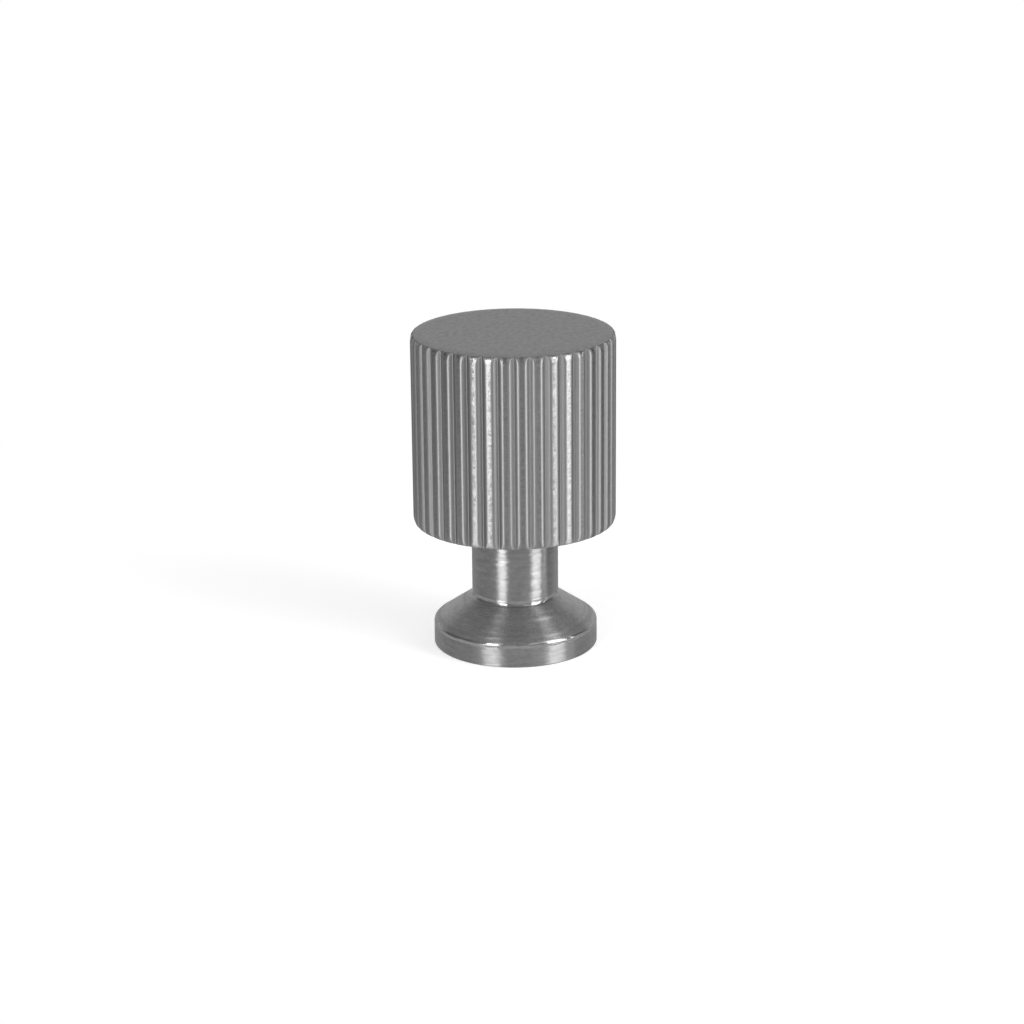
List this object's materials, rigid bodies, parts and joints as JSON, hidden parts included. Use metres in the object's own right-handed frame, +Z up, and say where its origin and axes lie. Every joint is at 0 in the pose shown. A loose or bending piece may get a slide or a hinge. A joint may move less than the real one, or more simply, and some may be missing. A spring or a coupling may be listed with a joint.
{
  "type": "cabinet knob",
  "caption": "Turned steel cabinet knob: fluted cylindrical head on a plain round neck and a coned foot, held by a screw in a tapped hole in its underside.",
  "frame": {"origin": "centre of the foot's flat underside", "axes": "+Z up the turning axis, from the foot to the head's top; one flute lies on +X and one on -Y"},
  "size_m": [0.025, 0.025, 0.0397],
  "materials": {
    "turned_steel": "satin lathe-turned steel, with turning lines round the neck and foot, a faced top and finely drawn flutes"
  },
  "bodies": {
    "root": {"knob_body": "turned_steel"}
  },
  "joints": []
}
